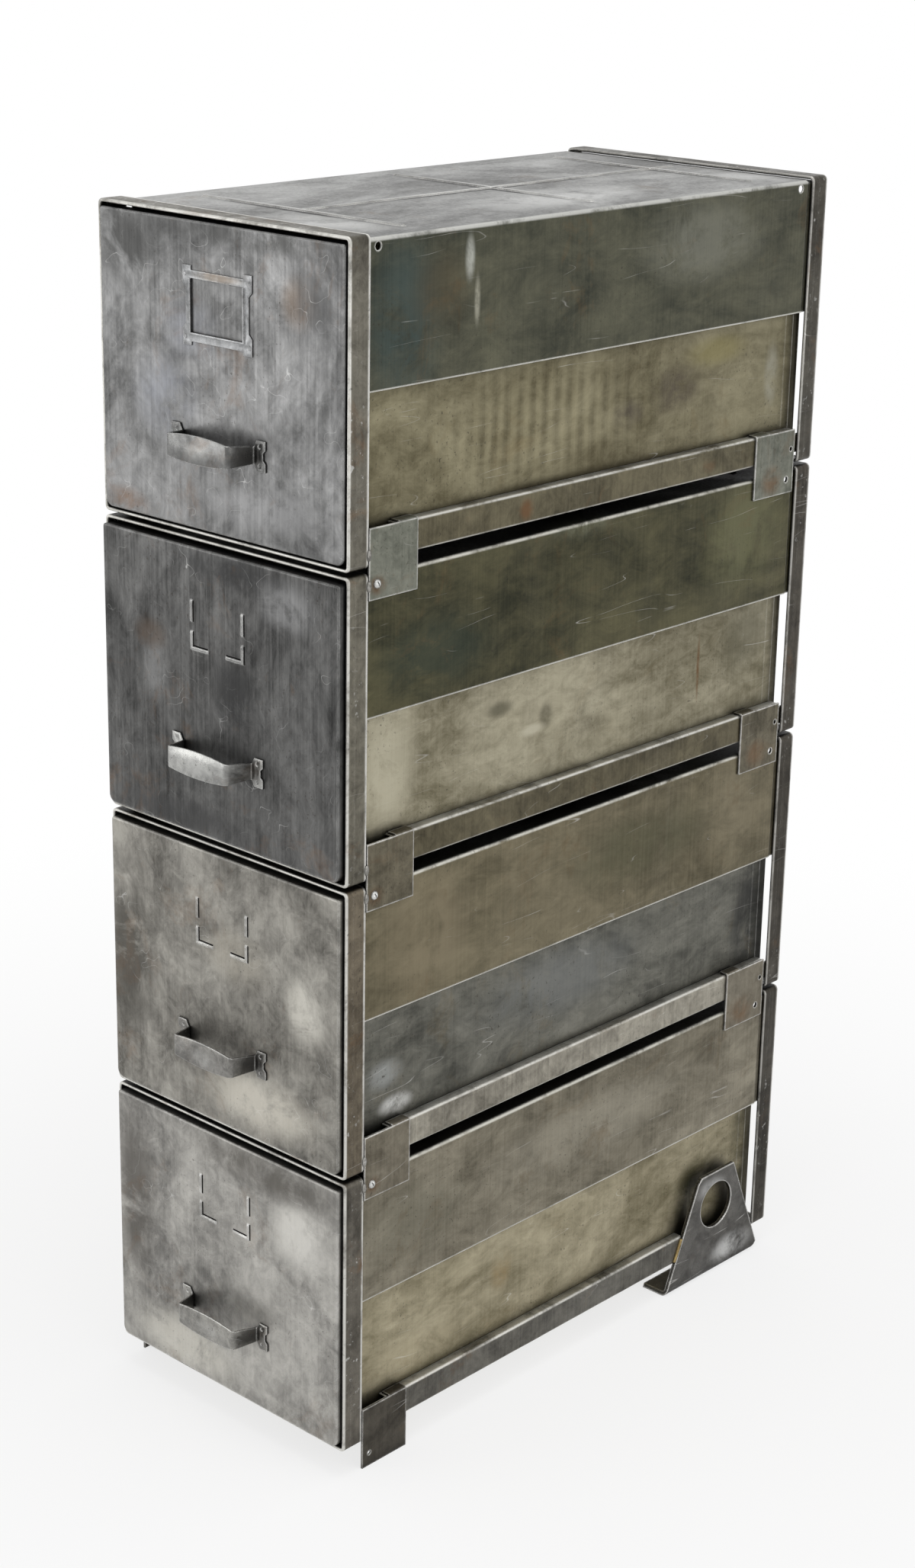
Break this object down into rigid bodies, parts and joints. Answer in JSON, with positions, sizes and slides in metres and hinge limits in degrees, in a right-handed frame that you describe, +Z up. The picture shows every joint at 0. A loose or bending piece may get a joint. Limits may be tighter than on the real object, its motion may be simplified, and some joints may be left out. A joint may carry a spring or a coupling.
{
  "type": "stacked drawer cabinet",
  "caption": "Tall stack of open-sided bare-steel file drawers in strip frames, with hooked connector plates, pressed hoods and bow pulls.",
  "frame": {"origin": "on the floor, under the middle of the whole part's footprint, pulls included", "axes": "+X to the cabinet's right seen from the front, +Y from the drawer faces to the back, +Z up"},
  "size_m": [0.3244, 0.694, 1.1765],
  "materials": {
    "frame": "bare strip steel, worn and lightly stained",
    "hood": "bare sheet steel, dark and cloudy",
    "rail": "bare sheet steel with brush marks",
    "plate": "bare plate steel",
    "foot": "heavy plate with grinding marks",
    "fastener": "bright zinc-plated steel",
    "braze": "dull brazing metal",
    "face": "bare sheet steel, cloudy, with burnished edges",
    "tray": "bare sheet steel, soft dents",
    "pull": "burnished strip steel",
    "holder": "bright pressed steel"
  },
  "bodies": {
    "case": {"front_frame_1": "frame", "front_frame_2": "frame", "front_frame_3": "frame", "front_frame_4": "frame", "rear_frame_1": "frame", "rear_frame_2": "frame", "rear_frame_3": "frame", "rear_frame_4": "frame", "hood_1": "hood", "hood_2": "hood", "hood_3": "hood", "hood_4": "hood", "rail_left_1": "rail", "rail_right_1": "rail", "rail_left_2": "rail", "rail_right_2": "rail", "rail_left_3": "rail", "rail_right_3": "rail", "rail_left_4": "rail", "rail_right_4": "rail", "front_plate_left_1": "plate", "rear_plate_left_1": "plate", "front_plate_right_1": "plate", "rear_plate_right_1": "plate", "front_plate_left_2": "plate", "rear_plate_left_2": "plate", "front_plate_right_2": "plate", "rear_plate_right_2": "plate", "front_plate_left_3": "plate", "rear_plate_left_3": "plate", "front_plate_right_3": "plate", "rear_plate_right_3": "plate", "front_foot_left": "plate", "rear_foot_left": "foot", "front_foot_right": "plate", "rear_foot_right": "foot", "stacking_screws": "fastener", "stacking_nuts": "fastener", "foot_braze": "braze"},
    "drawer_1": {"drawer_face_1": "face", "drawer_tray_1": "tray", "drawer_pull_1": "pull", "label_holder": "holder"},
    "drawer_2": {"drawer_face_2": "face", "drawer_tray_2": "tray", "drawer_pull_2": "pull"},
    "drawer_3": {"drawer_face_3": "face", "drawer_tray_3": "tray", "drawer_pull_3": "pull"},
    "drawer_4": {"drawer_face_4": "face", "drawer_tray_4": "tray", "drawer_pull_4": "pull"}
  },
  "joints": [
    {"name": "drawer_1_slide", "type": "slide", "parent": "case", "child": "drawer_1", "axis": [0, -1, 0], "range_m": [-0.002, 0.498]},
    {"name": "drawer_2_slide", "type": "slide", "parent": "case", "child": "drawer_2", "axis": [0, -1, 0], "range_m": [-0.007, 0.493]},
    {"name": "drawer_3_slide", "type": "slide", "parent": "case", "child": "drawer_3", "axis": [0, -1, 0], "range_m": [-0.005, 0.495]},
    {"name": "drawer_4_slide", "type": "slide", "parent": "case", "child": "drawer_4", "axis": [0, -1, 0], "range_m": [-0.005, 0.495]}
  ]
}
